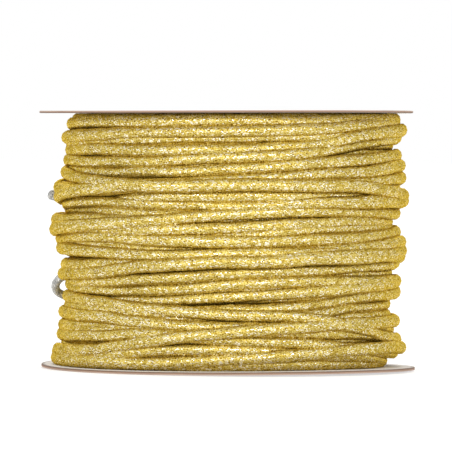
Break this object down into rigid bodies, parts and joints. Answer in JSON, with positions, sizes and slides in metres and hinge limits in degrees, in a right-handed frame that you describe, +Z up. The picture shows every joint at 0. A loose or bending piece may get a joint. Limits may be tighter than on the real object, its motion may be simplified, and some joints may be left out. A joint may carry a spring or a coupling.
{
  "type": "crinkle cord on a spool",
  "caption": "Metallic crinkle cord wound in crossing turns between two plain card discs, with a short loose end at one side.",
  "frame": {"origin": "on the surface that the spool stands on, under the lower disc, midway between the two discs' centres, which lie 1.2 mm apart", "axes": "+Z up along the spool's axis, -Y towards the viewer, +X to the viewer's right"},
  "size_m": [0.1012, 0.1, 0.0696],
  "materials": {
    "card": "plain matt paperboard with a brownish cut edge",
    "cord_gold": "gold metallic thread over a soft core, finely ribbed, with small sparkles",
    "cord_silver": "silver-grey thread, finely ribbed"
  },
  "bodies": {
    "root": {"flange_bottom": "card", "flange_top": "card", "winding": "cord_gold", "loose_end": "cord_silver"}
  },
  "joints": []
}
